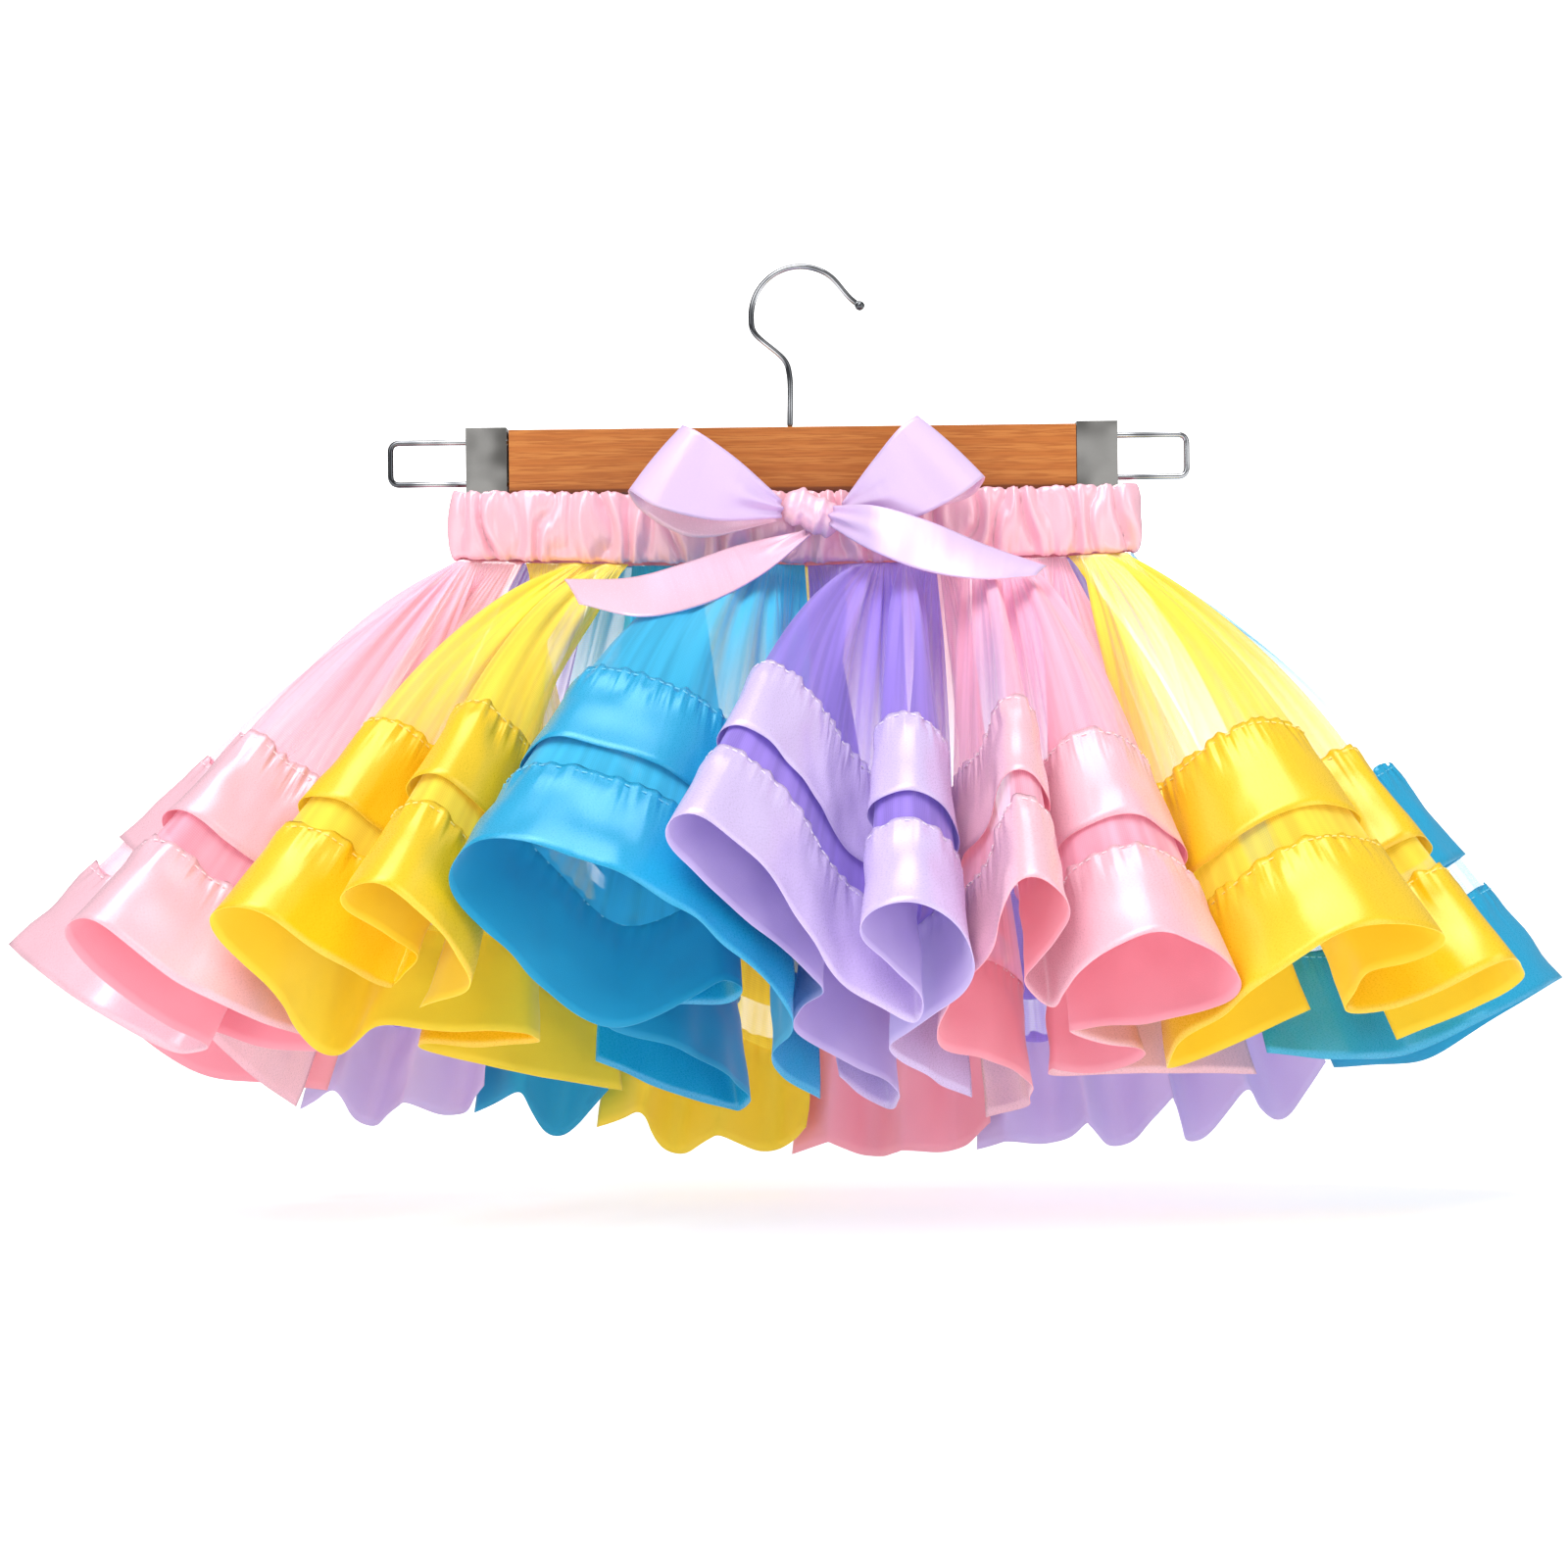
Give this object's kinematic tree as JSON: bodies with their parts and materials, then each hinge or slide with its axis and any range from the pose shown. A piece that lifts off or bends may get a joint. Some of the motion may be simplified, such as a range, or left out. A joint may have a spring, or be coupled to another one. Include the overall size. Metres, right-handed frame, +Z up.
{
  "type": "child's tulle tutu skirt on a clip hanger",
  "caption": "Child's tutu skirt of flared tulle panels in pastel rainbow colours with satin ribbon bands, a gathered waistband and a bow, clipped to a wooden bar hanger with a wire hook.",
  "frame": {"origin": "inside top of the hook, where a rail carries the hanger", "axes": "+Z up, +X along the hanger bar to the viewer's right, front of the skirt facing -Y"},
  "size_m": [0.6525, 0.2787, 0.3915],
  "materials": {
    "satin_waistband": "gathered satin",
    "net_pink": "sheer tulle",
    "satin_pink": "satin ribbon",
    "net_yellow": "sheer tulle",
    "satin_yellow": "satin ribbon",
    "net_blue": "sheer tulle",
    "satin_blue": "satin ribbon",
    "net_lilac": "sheer tulle",
    "satin_lilac": "satin ribbon",
    "satin_bow": "two-sided satin ribbon",
    "wood": "varnished",
    "chrome": "polished"
  },
  "bodies": {
    "root": {"waistband": "satin_waistband", "tulle_pink_left": "net_pink", "upper_ribbon_pink_left": "satin_pink", "hem_ribbon_pink_left": "satin_pink", "tulle_yellow_left": "net_yellow", "upper_ribbon_yellow_left": "satin_yellow", "hem_ribbon_yellow_left": "satin_yellow", "tulle_blue_front": "net_blue", "upper_ribbon_blue_front": "satin_blue", "hem_ribbon_blue_front": "satin_blue", "tulle_lilac_front": "net_lilac", "upper_ribbon_lilac_front": "satin_lilac", "hem_ribbon_lilac_front": "satin_lilac", "tulle_pink_right": "net_pink", "upper_ribbon_pink_right": "satin_pink", "hem_ribbon_pink_right": "satin_pink", "tulle_yellow_right": "net_yellow", "upper_ribbon_yellow_right": "satin_yellow", "hem_ribbon_yellow_right": "satin_yellow", "tulle_blue_right": "net_blue", "upper_ribbon_blue_right": "satin_blue", "hem_ribbon_blue_right": "satin_blue", "tulle_lilac_back_right": "net_lilac", "upper_ribbon_lilac_back_right": "satin_lilac", "hem_ribbon_lilac_back_right": "satin_lilac", "tulle_pink_back": "net_pink", "upper_ribbon_pink_back": "satin_pink", "hem_ribbon_pink_back": "satin_pink", "tulle_yellow_back": "net_yellow", "upper_ribbon_yellow_back": "satin_yellow", "hem_ribbon_yellow_back": "satin_yellow", "tulle_blue_back": "net_blue", "upper_ribbon_blue_back": "satin_blue", "hem_ribbon_blue_back": "satin_blue", "tulle_lilac_back_left": "net_lilac", "upper_ribbon_lilac_back_left": "satin_lilac", "hem_ribbon_lilac_back_left": "satin_lilac", "bow_loop_left": "satin_bow", "bow_loop_right": "satin_bow", "bow_tail_left": "satin_bow", "bow_tail_right": "satin_bow", "bow_knot": "satin_bow", "hanger_bar": "wood", "hook": "chrome", "clip_left": "chrome", "clip_right": "chrome", "wire_loop_left": "chrome", "wire_loop_right": "chrome"}
  },
  "joints": []
}
